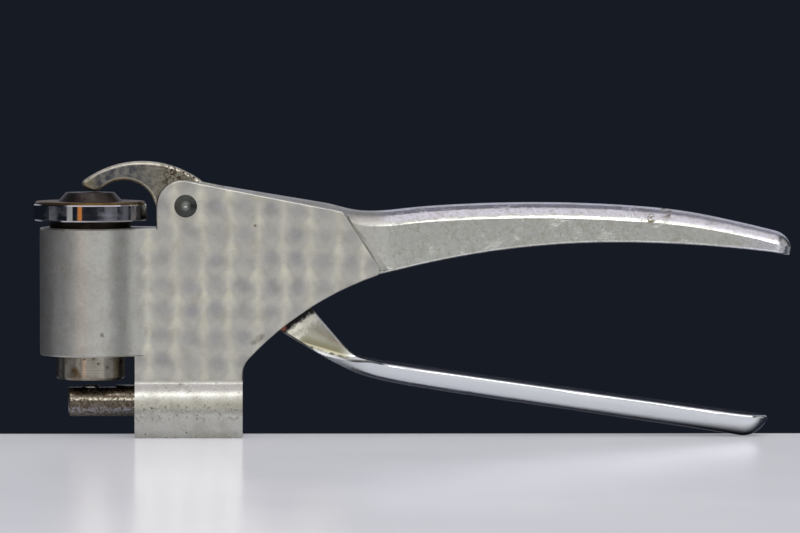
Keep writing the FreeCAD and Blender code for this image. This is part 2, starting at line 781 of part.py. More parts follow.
def ram_pieces():
    ram = turned("ram", [
        ("die_radius", "head_bottom"),
        ("head_radius - head_chamfer", "head_bottom"),
        ("head_radius", "head_bottom + head_chamfer"),
        ("head_radius", "head_top"),
        ("stem_radius", "head_top"),
        ("stem_radius", "stem_top"),
        ("shank_radius", "stem_top"),
        ("shank_radius", "shank_bottom"),
        ("0", "shank_bottom"),
        ("0", "die_top"),
        ("die_radius", "die_top"),
    ], "barrel_x")
    screw_hole = new_sketch(ram, "die_screw_hole", "XZ_Plane")
    circle(screw_hole, "0", "die_screw_z", "die_screw_radius")
    feature(ram, "Pocket", "die_screw_bore", screw_hole, "head_radius + 1")

    die = turned("setting_die", [
        ("0", "head_bottom + die_cup_depth"),
        ("die_cup_radius - die_cup_depth", "head_bottom + die_cup_depth"),
        ("die_cup_radius", "head_bottom"),
        ("die_radius", "head_bottom"),
        ("die_radius", "die_top"),
        ("0", "die_top"),
    ], "barrel_x")

    cup = turned("spring_cup", [
        ("stem_radius", "cup_plate"),
        ("cup_radius - cup_wall", "cup_plate"),
        ("cup_radius - cup_wall", "cup_skirt"),
        ("cup_radius", "cup_skirt"),
        ("cup_radius", "disc_bottom"),
        ("stem_radius", "disc_bottom"),
    ], "barrel_x")

    disc = turned("cap_disc", [
        ("stem_radius", "disc_bottom"),
        ("disc_radius - disc_bevel", "disc_bottom"),
        ("disc_radius", "disc_bottom + disc_bevel"),
        ("disc_radius", "disc_top - disc_bevel"),
        ("disc_radius - disc_bevel", "disc_top"),
        ("shank_radius + shank_play", "disc_top"),
        ("shank_radius + shank_play", "stem_top"),
        ("stem_radius", "stem_top"),
    ], "barrel_x")

    plate = turned("wear_plate", [
        ("shank_radius + shank_play", "disc_top"),
        ("plate_radius", "disc_top"),
        ("plate_radius", "plate_top - disc_bevel"),
        ("plate_radius - disc_bevel", "plate_top"),
        ("shank_radius + shank_play", "plate_top"),
    ], "barrel_x")

    button = turned("thrust_button", [
        ("0", "shank_bottom"),
        ("shank_radius", "shank_bottom"),
        ("shank_radius", "plate_top"),
        ("button_radius", "plate_top"),
        ("button_top_radius", "button_top"),
        ("0", "button_top"),
    ], "barrel_x")
    return [ram, die, die_screw(), cup, disc, plate, button]


def die_screw():
    body = new_body("die_set_screw", "barrel_x", "die_screw_z")
    shank = new_sketch(body, "die_screw_shank", "XZ_Plane", {"z": "-die_radius"})
    circle(shank, "0", "0", "die_screw_radius")
    feature(body, "Pad", "die_screw_body", shank, "die_screw_end - die_radius", backwards=True)
    groove = new_sketch(body, "die_screw_groove", "XZ_Plane", {"z": "-die_screw_end"})
    outline(groove, driver_corners("die_screw_radius"))
    feature(body, "Pocket", "die_screw_slot", groove, "driver_depth", backwards=True)
    return body


def driver_corners(radius):
    return [
        (f"-{radius} * 1.2", "-driver_slot / 2"),
        (f"{radius} * 1.2", "-driver_slot / 2"),
        (f"{radius} * 1.2", "driver_slot / 2"),
        (f"-{radius} * 1.2", "driver_slot / 2"),
    ]


# Guides and spring in the barrel

def barrel_pieces():
    sleeve = turned("ram_sleeve", [
        ("head_radius + running_fit", "barrel_bottom"),
        ("sleeve_radius", "barrel_bottom"),
        ("sleeve_radius", "floor_bottom"),
        ("head_radius + running_fit", "floor_bottom"),
    ], "barrel_x")
    bush = turned("stem_bush", [
        ("stem_radius + running_fit", "floor_bottom"),
        ("bush_radius", "floor_bottom"),
        ("bush_radius", "floor_top"),
        ("bush_flange", "floor_top"),
        ("bush_flange", "floor_top + bush_flange_thick"),
        ("stem_radius + running_fit", "floor_top + bush_flange_thick"),
    ], "barrel_x")
    seat_low = "floor_top + bush_flange_thick"
    seat = turned("spring_seat", [
        ("stem_radius + running_fit * 6", seat_low),
        ("seat_radius", seat_low),
        ("seat_radius", f"{seat_low} + seat_thick"),
        ("stem_radius + running_fit * 6", f"{seat_low} + seat_thick"),
    ], "barrel_x")
    return [sleeve, bush, seat, return_spring(value(f"{seat_low} + seat_thick"))]


def biarc(start, leaving, end, arriving):
    # Two arcs that share a tangent carry the wire from one point and direction to the next.
    reach = end - start
    turn = leaving + arriving
    a = turn.dot(turn) - 4
    b = -2 * reach.dot(turn)
    c = reach.dot(reach)
    step = (-b - math.sqrt(b * b - 4 * a * c)) / (2 * a)
    first = start + leaving * step
    second = end - arriving * step
    middle = (first + second) * 0.5
    return [arc_on(start, first, middle), arc_on(middle, second, end)]


def arc_on(start, corner, end):
    # An arc tangent to both legs of a corner whose legs are equally long.
    chord_middle = (start + end) * 0.5
    rise = (corner - chord_middle).Length
    half = (end - start).Length / 2
    leg = math.sqrt(rise ** 2 + half ** 2)
    bulge = half * rise / (leg + half)
    top = chord_middle + (corner - chord_middle).normalize() * bulge
    return Part.Arc(start, top, end).toShape()


def return_spring(base):
    radius = value("coil_radius")
    wire = value("wire_radius")
    turns = value("coil_turns")
    height = value("cup_plate - coil_end_gap") - base
    pitch = (height - 2 * wire) / turns

    def spot(quarter):
        angle = quarter * math.pi / 2
        return FreeCAD.Vector(radius * math.cos(angle), radius * math.sin(angle), pitch * quarter / 4)

    def heading(quarter):
        angle = quarter * math.pi / 2
        around = FreeCAD.Vector(-radius * math.sin(angle), radius * math.cos(angle), pitch / (2 * math.pi))
        return around.normalize()

    edges = []
    for quarter in range(round(turns * 4)):
        edges += biarc(spot(quarter), heading(quarter), spot(quarter + 1), heading(quarter + 1))
    path = Part.Wire(edges)
    ring = Part.Wire(Part.Circle(spot(0), heading(0), wire).toShape())
    tube = path.makePipeShell([ring], True, False)

    samples = [p for edge in path.Edges for p in edge.discretize(5)[:-1]]
    per_turn = len(samples) / turns
    apart = [
        (samples[i] - samples[j]).Length - 2 * wire
        for i in range(len(samples))
        for j in range(len(samples))
        if j - i > per_turn / 2
    ]
    print(f"return_spring least gap to itself {min(apart):.2f} mm, volume {tube.Volume:.1f} mm3")

    coil = doc.addObject("Part::Feature", "return_spring")
    coil.Label = "return_spring"
    coil.Shape = tube
    coil.Placement = FreeCAD.Placement(
        FreeCAD.Vector(value("barrel_x"), 0, base + wire), FreeCAD.Rotation())
    return coil


# Horn in the foot, its peg and its grub screw

def horn_pieces():
    bar = new_body("anvil_bar")
    section = new_sketch(bar, "horn_section", "YZ_Plane", {"z": "anvil_tip_x"})
    circle(section, "0", "anvil_z", "anvil_radius")
    feature(bar, "Pad", "horn", section, "anvil_root_x - anvil_tip_x")
    soften(bar, "Chamfer", "horn_tip", [("anvil_tip_x", "-anvil_radius", "anvil_z")], "anvil_chamfer")
    flat = new_sketch(bar, "horn_flat_outline", "XZ_Plane")
    outline(flat, [
        ("anvil_tip_x - 1", "anvil_flat_z"),
        ("anvil_flat_end", "anvil_flat_z"),
        ("anvil_flat_end", "anvil_z + anvil_radius + 1"),
        ("anvil_tip_x - 1", "anvil_z + anvil_radius + 1"),
    ])
    feature(bar, "Pocket", "horn_flat", flat, "anvil_radius * 3", symmetric=True)
    peg_hole = new_sketch(bar, "peg_hole_outline", "XY_Plane", {"z": "anvil_z + anvil_radius"})
    circle(peg_hole, "barrel_x", "0", "peg_radius")
    feature(bar, "Pocket", "peg_hole", peg_hole, "anvil_radius")

    peg = turned("anvil_die", [
        ("0", "anvil_z"),
        ("peg_radius", "anvil_z"),
        ("peg_radius", "peg_top - disc_bevel"),
        ("peg_radius - disc_bevel", "peg_top"),
        ("0", "peg_top"),
    ], "barrel_x")

    grub = turned("anvil_set_screw", [
        ("0", "grub_inset"),
        ("grub_radius", "grub_inset"),
        ("grub_radius", "anvil_z - anvil_radius - grub_inset"),
        ("grub_radius - grub_inset", "anvil_z - anvil_radius"),
        ("0", "anvil_z - anvil_radius"),
    ], "grub_x")
    groove = new_sketch(grub, "grub_groove", "XY_Plane", {"z": "grub_inset"})
    outline(groove, driver_corners("grub_radius"))
    feature(grub, "Pocket", "grub_slot", groove, "driver_depth", backwards=True)
    return [bar, peg, grub]


pieces = [casting(), lever()] + pivot() + ram_pieces() + barrel_pieces() + horn_pieces()
doc.recompute()

for item in doc.Objects:
    if "Invalid" in item.State or "Error" in item.State:
        raise RuntimeError(f"{item.Label} failed: {item.State}")
for piece in pieces:
    if piece.Shape.isNull() or not piece.Shape.isValid():
        raise RuntimeError(f"{piece.Label} has no valid shape")
    box = piece.Shape.BoundBox
    print(f"{piece.Label}: {len(piece.Shape.Solids)} solid(s), {piece.Shape.Volume:.0f} mm3, "
          f"x {box.XMin:.1f} to {box.XMax:.1f}, y {box.YMin:.1f} to {box.YMax:.1f}, "
          f"z {box.ZMin:.2f} to {box.ZMax:.2f}")

os.makedirs("parts", exist_ok=True)
for piece in pieces:
    piece.Shape.exportStep(f"parts/{piece.Label}.step")
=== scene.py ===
import math

import bpy
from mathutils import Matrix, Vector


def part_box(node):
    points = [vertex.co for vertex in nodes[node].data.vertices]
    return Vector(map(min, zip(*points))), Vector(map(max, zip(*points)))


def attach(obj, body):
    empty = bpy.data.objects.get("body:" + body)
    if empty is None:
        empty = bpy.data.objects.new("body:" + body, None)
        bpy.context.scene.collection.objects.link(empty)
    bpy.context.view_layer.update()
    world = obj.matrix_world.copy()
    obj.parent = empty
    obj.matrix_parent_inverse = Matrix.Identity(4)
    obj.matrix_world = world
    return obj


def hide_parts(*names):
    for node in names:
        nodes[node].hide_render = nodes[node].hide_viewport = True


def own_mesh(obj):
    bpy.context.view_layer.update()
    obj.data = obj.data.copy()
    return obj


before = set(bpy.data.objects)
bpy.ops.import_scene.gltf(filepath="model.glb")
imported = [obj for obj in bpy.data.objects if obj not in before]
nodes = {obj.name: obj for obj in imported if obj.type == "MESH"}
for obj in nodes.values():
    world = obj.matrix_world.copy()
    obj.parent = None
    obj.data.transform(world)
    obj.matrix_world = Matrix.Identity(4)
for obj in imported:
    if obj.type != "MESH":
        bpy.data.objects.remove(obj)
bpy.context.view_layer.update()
scene = bpy.context.scene
mmPerMetre = 1000
print("frame loaded:", len(nodes), "nodes")


# Node helpers, one call for each node that a finish needs

def paint(red, green, blue):
    # colour as it looks on a screen, 0 to 255, to the linear values that the shaders take
    linear = []
    for part in (red, green, blue):
        part = part / 255
        linear.append(part / 12.92 if part < 0.04045 else ((part + 0.055) / 1.055) ** 2.4)
    return (*linear, 1.0)


def feed(tree, socket, source):
    if isinstance(source, bpy.types.NodeSocket):
        tree.links.new(source, socket)
    else:
        socket.default_value = source


def addNode(tree, kind, inputs=None, **settings):
    node = tree.nodes.new("ShaderNode" + kind)
    for name, setting in settings.items():
        setattr(node, name, setting)
    for socket, source in (inputs or {}).items():
        feed(tree, node.inputs[socket], source)
    return node


def calc(tree, operation, first, second=0.0, third=0.0):
    return addNode(tree, "Math", {0: first, 1: second, 2: third}, operation=operation).outputs[0]


def less(tree, first, second):
    return calc(tree, "SUBTRACT", first, second)


def times(tree, result, *others):
    for other in others:
        result = calc(tree, "MULTIPLY", result, other)
    return result


def most(tree, result, *others):
    for other in others:
        result = calc(tree, "MAXIMUM", result, other)
    return result


def added(tree, mask, share, base):
    return calc(tree, "MULTIPLY_ADD", mask, share, base)


def builtUp(tree, base, shares, **masks):
    # a value with a share of each mask added to it
    for name, share in shares.items():
        base = added(tree, masks[name], share, base)
    return base


def rise(tree, source, start, end):
    # 0 up to start and 1 from end on, smooth between; start above end gives a fall
    node = addNode(tree, "MapRange", {"Value": source, "From Min": start, "From Max": end})
    node.interpolation_type = "SMOOTHSTEP"
    return node.outputs["Result"]


def between(tree, source, low, high, soft):
    # 1 from low to high, with soft edges
    up = rise(tree, source, low - soft, low + soft)
    down = rise(tree, source, high + soft, high - soft)
    return times(tree, up, down)


def level(tree, mask, low, high):
    # a value that runs from low where the mask is 0 to high where it is 1
    node = addNode(tree, "MapRange", {"Value": mask, "To Min": low, "To Max": high})
    return node.outputs["Result"]


def mixed(tree, mask, first, second, how="MIX"):
    node = addNode(tree, "Mix", data_type="RGBA", blend_type=how)
    feed(tree, node.inputs[0], mask)
    feed(tree, node.inputs[6], first)
    feed(tree, node.inputs[7], second)
    return node.outputs[2]


def noiseAt(tree, vector, scale, detail, output=0):
    noise = addNode(tree, "TexNoise", {"Vector": vector, "Scale": scale, "Detail": detail})
    return noise.outputs[output]


def newGroup(name, inputs, output):
    tree = bpy.data.node_groups.new(name, "ShaderNodeTree")
    for socketName, kind in inputs.items():
        tree.interface.new_socket(name=socketName, in_out="INPUT", socket_type="NodeSocket" + kind)
    tree.interface.new_socket(name=output, in_out="OUTPUT", socket_type="NodeSocketFloat")
    return tree, tree.nodes.new("NodeGroupInput").outputs, tree.nodes.new("NodeGroupOutput").inputs


def placeGroup(tree, group, **values):
    node = tree.nodes.new("ShaderNodeGroup")
    node.node_tree = group
    for name, source in values.items():
        feed(tree, node.inputs[name], source)
    return node.outputs[0]


def newFinish(name, metallic=1.0):
    material = bpy.data.materials.new(name)
    material.use_nodes = True
    tree = material.node_tree
    shader = tree.nodes["Principled BSDF"]
    shader.inputs["Metallic"].default_value = metallic
    coords = tree.nodes.new("ShaderNodeTexCoord").outputs["Object"]
    scaled = {0: coords, 1: (mmPerMetre, mmPerMetre, mmPerMetre)}
    mm = addNode(tree, "VectorMath", scaled, operation="MULTIPLY").outputs[0]
    return material, tree, shader, mm


def split(tree, vector):
    return addNode(tree, "SeparateXYZ", {0: vector}).outputs


def farness(tree, u, v):
    # distance from the middle of a flat pair of values
    flat = addNode(tree, "CombineXYZ", {0: u, 1: v}).outputs[0]
    return addNode(tree, "VectorMath", {0: flat}, operation="LENGTH").outputs["Value"]


def bumped(tree, shader, height, distance):
    node = addNode(tree, "Bump", {"Height": height, "Distance": distance, "Strength": 1.0})
    tree.links.new(node.outputs["Normal"], shader.inputs["Normal"])


# Effects that several finishes share; every length is in millimetres

scratchLook = {
    "line": 0.022,  # how wide a scratch is, as a step of the noise
    "breaks": (0.11, 3.0),  # scale and detail of the noise that breaks the lines up
    "rarest": 0.85,
    "byAmount": 0.6,
    "soft": 0.12,
}
pitLook = {
    "wander": (1.7, 2.0),
    "radius": (0.12, 0.28),  # the least, and how much more a pit may have, in cells
    "floor": 0.45,  # a pit is deepest inside this share of its radius
}
stainLook = {"detail": 6.0, "roughness": 0.6, "rarest": 0.75, "byCover": 0.5}


def makeScratches():
    inputs = {
        "Vector": "Vector", "Angle": "Float", "Length": "Float", "Spacing": "Float", "Amount": "Float",
    }
    tree, given, out = newGroup("fineScratches", inputs, "Mask")
    turn = {"Vector": given["Vector"], "Angle": given["Angle"]}
    turned = addNode(tree, "VectorRotate", turn, rotation_type="Y_AXIS")
    along = calc(tree, "DIVIDE", 1.0, given["Length"])
    across = calc(tree, "DIVIDE", 1.0, given["Spacing"])
    size = addNode(tree, "CombineXYZ", {0: along, 1: along, 2: across}).outputs[0]
    drawn = addNode(tree, "VectorMath", {0: turned.outputs[0], 1: size}, operation="MULTIPLY").outputs[0]
    offLine = calc(tree, "ABSOLUTE", less(tree, noiseAt(tree, drawn, 1.0, 1.0), 0.5))
    line = rise(tree, offLine, scratchLook["line"], 0.0)
    broken = noiseAt(tree, given["Vector"], *scratchLook["breaks"])
    least = less(tree, scratchLook["rarest"], times(tree, given["Amount"], scratchLook["byAmount"]))
    shown = rise(tree, broken, least, calc(tree, "ADD", least, scratchLook["soft"]))
    feed(tree, out["Mask"], times(tree, line, shown))
    return tree


def makePits():
    inputs = {"Vector": "Vector", "Size": "Float", "Cover": "Float"}
    tree, given, out = newGroup("castingPits", inputs, "Mask")
    wander = noiseAt(tree, given["Vector"], *pitLook["wander"], output=1)
    shifted = addNode(tree, "VectorMath", {0: given["Vector"], 1: wander}, operation="ADD").outputs[0]
    count = calc(tree, "DIVIDE", 1.0, given["Size"])
    cells = addNode(tree, "TexVoronoi", {"Vector": shifted, "Scale": count})
    chance = addNode(tree, "SeparateColor", {0: cells.outputs["Color"]}).outputs
    chosen = calc(tree, "LESS_THAN", chance[0], given["Cover"])
    least, more = pitLook["radius"]
    radius = added(tree, chance[1], more, least)
    hole = rise(tree, cells.outputs["Distance"], radius, times(tree, radius, pitLook["floor"]))
    feed(tree, out["Mask"], times(tree, hole, chosen))
    return tree


def makeStains():
    inputs = {"Vector": "Vector", "Size": "Float", "Cover": "Float", "Soft": "Float"}
    tree, given, out = newGroup("stainCloud", inputs, "Mask")
    count = calc(tree, "DIVIDE", 1.0, given["Size"])
    noise = noiseAt(tree, given["Vector"], count, stainLook["detail"])
    noise.node.inputs["Roughness"].default_value = stainLook["roughness"]
    middle = less(tree, stainLook["rarest"], times(tree, given["Cover"], stainLook["byCover"]))
    low = less(tree, middle, given["Soft"])
    high = calc(tree, "ADD", middle, given["Soft"])
    feed(tree, out["Mask"], rise(tree, noise, low, high))
    return tree


def makeTurning():
    # rings of a lathe tool about the Z axis, on end faces as well as round sides
    inputs = {"Vector": "Vector", "Pitch": "Float"}
    tree, given, out = newGroup("turningMarks", inputs, "Height")
    x, y, z = split(tree, given["Vector"])
    run = calc(tree, "DIVIDE", calc(tree, "ADD", farness(tree, x, y), z), given["Pitch"])
    noise = addNode(tree, "TexNoise", {"W": run, "Scale": 1.0, "Detail": 3.0}, noise_dimensions="1D")
    feed(tree, out["Height"], noise.outputs[0])
    return tree


scratches = makeScratches()
pits = makePits()
stains = makeStains()
turning = makeTurning()
print("shared effects ready")


# Polishing spots: light gaps between round spots, in rows on the slab's two sides; the rings are real,
# their light gaps are painted highlight and their dark middles painted shade

polishSpots = {
    "pitch": (9.4, 9.1),  # between the gaps, along X and Z
    "first": (-14.8, 31.2),
    "rowFall": 0.03,  # the rows run down a little towards the handle
    "drift": (0.06, 1.0),  # scale and detail of the noise that moves the spots
    "driftBy": 0.5,  # how far it moves them, in pitches
    "arch": 0.9,  # how round a row is
    "gapWidth": (0.10, 0.46),  # half a gap, at the top of a row and at its foot
    "gapNarrows": (1.0, 0.15),
    "gapTop": (1.05, 0.55),  # where a gap fades out, up the row and down it
    "gapFoot": (-0.1, 0.55),
    "gapLeast": 0.45,  # the faintest gap
    "streakWidth": 0.2,  # a faint line that joins the gaps of a column
    "streak": 0.5,
    "lensSize": (0.40, 0.46),  # half a dark middle, painted shade, along X and Z
    "lensEdge": (1.0, 0.25),
    "lensLeast": 0.3,
    "rings": 60.0,
}


def chanceAt(tree, u, v):
    # one random value for each cell
    cell = addNode(tree, "CombineXYZ", {0: calc(tree, "FLOOR", u), 1: calc(tree, "FLOOR", v)}).outputs[0]
    return addNode(tree, "TexWhiteNoise", {"Vector": cell}, noise_dimensions="2D").outputs["Value"]


def spotPattern(tree, mm, x, z):
    spots = polishSpots
    drift = split(tree, noiseAt(tree, mm, *spots["drift"], output=1))
    fallen = added(tree, x, spots["rowFall"], z)
    still = (1 - spots["driftBy"]) / 2
    cells = []
    for part, place in enumerate((x, fallen)):
        count = calc(tree, "DIVIDE", less(tree, place, spots["first"][part]), spots["pitch"][part])
        cells.append(added(tree, drift[part], spots["driftBy"], calc(tree, "ADD", count, still)))
    u, v = cells
    off = calc(tree, "ABSOLUTE", less(tree, calc(tree, "FRACT", u), 0.5))
    up = calc(tree, "FRACT", v)

    arched = added(tree, calc(tree, "POWER", off, 2.0), spots["arch"], up)
    wide = level(tree, rise(tree, arched, *spots["gapNarrows"]), *spots["gapWidth"])
    fade = times(tree, rise(tree, arched, *spots["gapTop"]), rise(tree, arched, *spots["gapFoot"]))
    shown = level(tree, chanceAt(tree, u, v), spots["gapLeast"], 1.0)
    gap = times(tree, rise(tree, off, wide, 0.0), fade, shown)
    streak = times(tree, rise(tree, off, spots["streakWidth"], 0.0), spots["streak"])
    gap = most(tree, gap, streak)

    lensX, lensZ = spots["lensSize"]
    fromEdge = less(tree, 0.5, calc(tree, "ABSOLUTE", less(tree, up, 0.5)))
    lensU = calc(tree, "DIVIDE", less(tree, 0.5, off), lensX)
    lensV = calc(tree, "DIVIDE", fromEdge, lensZ)
    far = farness(tree, lensU, lensV)
    chance = chanceAt(tree, calc(tree, "ADD", u, 0.5), calc(tree, "ADD", v, 0.5))
    lens = times(tree, rise(tree, far, *spots["lensEdge"]), level(tree, chance, spots["lensLeast"], 1.0))
    ring = calc(tree, "SINE", times(tree, far, spots["rings"]))
    return gap, lens, ring


# Single marks, placed by X and Z on both sides of a piece

def insideArc(tree, x, z, middleX, middleZ, radius):
    # distance inwards from a round edge that is seen from the side
    overX = calc(tree, "POWER", less(tree, x, middleX), 2.0)
    overZ = calc(tree, "POWER", less(tree, z, middleZ), 2.0)
    away = calc(tree, "SQRT", calc(tree, "ADD", overX, overZ))
    return less(tree, radius, away)


def spotAt(tree, x, z, middleX, middleZ, radius):
    # a soft round mark
    return rise(tree, insideArc(tree, x, z, middleX, middleZ, radius), 0.0, radius * 0.6)


def streakAt(tree, x, z, middleX, middleZ, angle, length, width):
    # a soft long mark, turned by an angle
    overX = less(tree, x, middleX)
    overZ = less(tree, z, middleZ)
    along = added(tree, overZ, math.sin(angle), times(tree, overX, math.cos(angle)))
    across = added(tree, overX, -math.sin(angle), times(tree, overZ, math.cos(angle)))
    ends = calc(tree, "POWER", calc(tree, "DIVIDE", along, length), 2.0)
    sides = calc(tree, "POWER", calc(tree, "DIVIDE", across, width), 2.0)
    return rise(tree, calc(tree, "ADD", ends, sides), 1.0, 0.1)


def lineAt(tree, x, startX, startZ, slope):
    # height of a sloping line
    return added(tree, less(tree, x, startX), slope, startZ)


# Cast frame: satin aluminium, spotted on the slab, with a cast and pitted skin elsewhere; a painted
# reflection tone on the handle's top and a band of painted shade on the foot

castFrame = {
    # where each region begins: a pair is the start and end of a soft change, Side is from the mid-plane
    "bodyZ": (19.6, 20.6),  # the slab, over the foot and beside the barrel
    "bodyX": (-22.0, -17.5),
    "faceSide": (9.88, 9.96),  # the slab's flat faces
    "rimSide": (8.8, 9.2),
    "rimZ": (60.0, 64.0),
    "barrelX": (-20.5, -22.5),
    "footZ": (20.0, 18.0),
    "footX": (-22.0, -20.0),
    "footBandZ": (10.0, 13.4, 1.6),  # a band of painted shade, from, to and how soft
    "gripX": (62.0, 72.0),
    "crownSide": (7.6, 7.0),  # the handle's top
    "glossSide": (7.98, 7.9),
    "glossX": (175.0, 160.0),
    # colours
    "spotColour": paint(207, 206, 197),
    # the spots' sheen: light gaps are painted highlight, dark middles painted shade
    "gapColour": paint(250, 247, 228),
    "lensColour": paint(178, 178, 180),
    "lensShare": 0.8,
    "castColour": paint(211, 210, 202),
    "footColour": paint(208, 207, 200),
    # painted shade for the band across the foot
    "footBand": paint(182, 180, 168),
    "gripColour": paint(234, 235, 227),
    # the handle's top, lighter and bluer: a painted reflection of the light above
    "crownColour": paint(242, 242, 247),
    "mottleColour": paint(239, 238, 231),
    "cloudColour": paint(240, 239, 236),
    "scratchColour": paint(222, 221, 215),
    "scratchShare": 0.28,
    "pitColour": paint(92, 82, 68),
    "speckColour": paint(108, 96, 70),
    # noise: scale and detail, then the values between which it shows
    "patches": (0.045, 2.0),
    "patchEdge": (0.35, 0.6),
    "patchLeast": 0.5,
    "cloud": (0.2, 6.0),
    "cloudEdge": (0.4, 0.7),
    "grain": (2.2, 2.0),
    "grainEdge": (0.45, 0.75),
    "mottle": (0.8, 7.0),
    "mottleEdge": (0.45, 0.7),
    "mottleShare": (0.35, 1.0),  # off the handle, and on it
    # wear
    "worn": dict(Angle=0.5, Length=16.0, Spacing=0.8, Amount=0.5),
    "crossed": dict(Angle=-0.9, Length=11.0, Spacing=0.7, Amount=0.4),
    "rubbed": dict(Angle=-0.08, Length=30.0, Spacing=0.45, Amount=0.45),
    "footPits": dict(Size=1.2, Cover=0.06),
    "pitRows": dict(Size=1.3, Cover=0.3, Soft=0.05),
    "pitRowsZ": (6.5, 12.5, 1.5),
    "pitRowsShare": 0.5,
    "specks": dict(Size=3.4, Cover=0.10),
    "speckShare": 0.75,
    "rust": dict(Size=1.3, Cover=0.8),  # on the sides of the handle
    "rustX": (132.0, 164.0, 8.0),
    "rustSide": (7.4, 7.9),
    "dot": (22.2, 74.2, 0.7),  # one brown dot on the slab: X, Z and radius
    "stain": dict(Size=2.0, Cover=0.5, Soft=0.1),  # a brown mark on the handle
    "stainSpot": (166.0, 78.9, 3.0),
    "scrawl": dict(Size=1.2, Cover=0.5, Soft=0.05),  # and a sharper one below it
    "scrawlSpot": (160.3, 76.6, 2.4),
    "smudge": dict(Size=2.4, Cover=0.74, Soft=0.14),  # a dark mark on the slab, close to its belly
    "smudgeStreak": (23.0, 34.5, 0.6, 3.6, 1.5),  # X, Z, angle, half length and half width
    "smudgeShare": 0.65,
    # surface
    "rough": (0.35, 0.22),  # off the handle, and on it
    "roughBy": dict(foot=-0.13, glossy=-0.11, rim=-0.16, gap=-0.06, lens=0.04, cloud=0.1, dirt=0.25),
    "dirtMetal": 0.3,
    "heightBy": dict(ring=0.12, grain=0.25, cloud=0.5, pits=-1.6, scratch=-1.0),
    "bump": 0.00004,
}


def castFinish():
    cast = castFrame
    made, tree, shader, mm = newFinish("castAluminium")
    x, y, z = split(tree, mm)
    side = calc(tree, "ABSOLUTE", y)
    body = times(tree, rise(tree, z, *cast["bodyZ"]), rise(tree, x, *cast["bodyX"]))
    slab = times(tree, body, rise(tree, side, *cast["faceSide"]))
    rim = less(tree, rise(tree, side, *cast["rimSide"]), slab)
    rim = times(tree, rim, body, rise(tree, z, *cast["rimZ"]))
    barrel = rise(tree, x, *cast["barrelX"])
    foot = times(tree, rise(tree, z, *cast["footZ"]), rise(tree, x, *cast["footX"]))
    grip = rise(tree, x, *cast["gripX"])
    crown = times(tree, grip, rise(tree, side, *cast["crownSide"]))
    glossy = times(tree, grip, rise(tree, side, *cast["glossSide"]), rise(tree, x, *cast["glossX"]))

    gap, lens, ring = spotPattern(tree, mm, x, z)
    patches = rise(tree, noiseAt(tree, mm, *cast["patches"]), *cast["patchEdge"])
    gap = times(tree, gap, slab, level(tree, patches, cast["patchLeast"], 1.0))
    lens = times(tree, lens, slab)
    cloud = noiseAt(tree, mm, *cast["cloud"])
    grain = noiseAt(tree, mm, *cast["grain"])
    mottle = rise(tree, noiseAt(tree, mm, *cast["mottle"]), *cast["mottleEdge"])
    mottle = times(tree, mottle, level(tree, grip, *cast["mottleShare"]))
    worn = placeGroup(tree, scratches, Vector=mm, **cast["worn"])
    crossed = placeGroup(tree, scratches, Vector=mm, **cast["crossed"])
    rubbed = times(tree, placeGroup(tree, scratches, Vector=mm, **cast["rubbed"]), grip)
    scratch = most(tree, worn, crossed, rubbed)

    rows = placeGroup(tree, stains, Vector=mm, **cast["pitRows"])
    rows = times(tree, rows, between(tree, z, *cast["pitRowsZ"]), cast["pitRowsShare"])
    footPits = placeGroup(tree, pits, Vector=mm, **cast["footPits"])
    footPits = times(tree, most(tree, footPits, rows), foot)
    specks = times(tree, placeGroup(tree, pits, Vector=mm, **cast["specks"]), barrel)
    rust = placeGroup(tree, pits, Vector=mm, **cast["rust"])
    rust = times(tree, rust, between(tree, x, *cast["rustX"]), rise(tree, side, *cast["rustSide"]))
    specks = most(tree, specks, rust, spotAt(tree, x, z, *cast["dot"]))
    specks = times(tree, specks, cast["speckShare"])
    stain = placeGroup(tree, stains, Vector=mm, **cast["stain"])
    stain = times(tree, stain, spotAt(tree, x, z, *cast["stainSpot"]))
    scrawl = placeGroup(tree, stains, Vector=mm, **cast["scrawl"])
    scrawl = times(tree, scrawl, spotAt(tree, x, z, *cast["scrawlSpot"]))
    smudge = placeGroup(tree, stains, Vector=mm, **cast["smudge"])
    smudge = times(tree, smudge, slab, streakAt(tree, x, z, *cast["smudgeStreak"]), cast["smudgeShare"])
    specks = most(tree, specks, stain, scrawl, smudge)
    dirt = most(tree, footPits, specks)

    # light gaps of painted highlight and dark middles of painted shade on the spots
    spotted = mixed(tree, gap, cast["spotColour"], cast["gapColour"])
    spotted = mixed(tree, times(tree, lens, cast["lensShare"]), spotted, cast["lensColour"])
    plain = mixed(tree, grip, cast["castColour"], cast["gripColour"])
    # painted reflection tone on the handle's top
    plain = mixed(tree, crown, plain, cast["crownColour"])
    # a band of painted shade across the foot
    shadeBanded = between(tree, z, *cast["footBandZ"])
    plain = mixed(tree, foot, plain, mixed(tree, shadeBanded, cast["footColour"], cast["footBand"]))
    plain = mixed(tree, mottle, plain, cast["mottleColour"], "MULTIPLY")
    colour = mixed(tree, slab, plain, spotted)
    colour = mixed(tree, rise(tree, cloud, *cast["cloudEdge"]), colour, cast["cloudColour"], "MULTIPLY")
    colour = mixed(tree, rise(tree, grain, *cast["grainEdge"]), colour, cast["cloudColour"], "MULTIPLY")
    colour = mixed(tree, times(tree, scratch, cast["scratchShare"]), colour, cast["scratchColour"])
    colour = mixed(tree, specks, colour, cast["speckColour"])
    colour = mixed(tree, footPits, colour, cast["pitColour"])
    feed(tree, shader.inputs["Base Color"], colour)

    rough = builtUp(
        tree, level(tree, grip, *cast["rough"]), cast["roughBy"],
        foot=foot, glossy=glossy, rim=rim, gap=gap, lens=lens, cloud=cloud, dirt=dirt,
    )
    feed(tree, shader.inputs["Roughness"], rough)
    feed(tree, shader.inputs["Metallic"], level(tree, dirt, 1.0, cast["dirtMetal"]))
    height = builtUp(
        tree, 0.0, cast["heightBy"],
        ring=times(tree, ring, slab), grain=grain, cloud=cloud, pits=footPits, scratch=scratch,
    )
    bumped(tree, shader, height, cast["bump"])
    return made
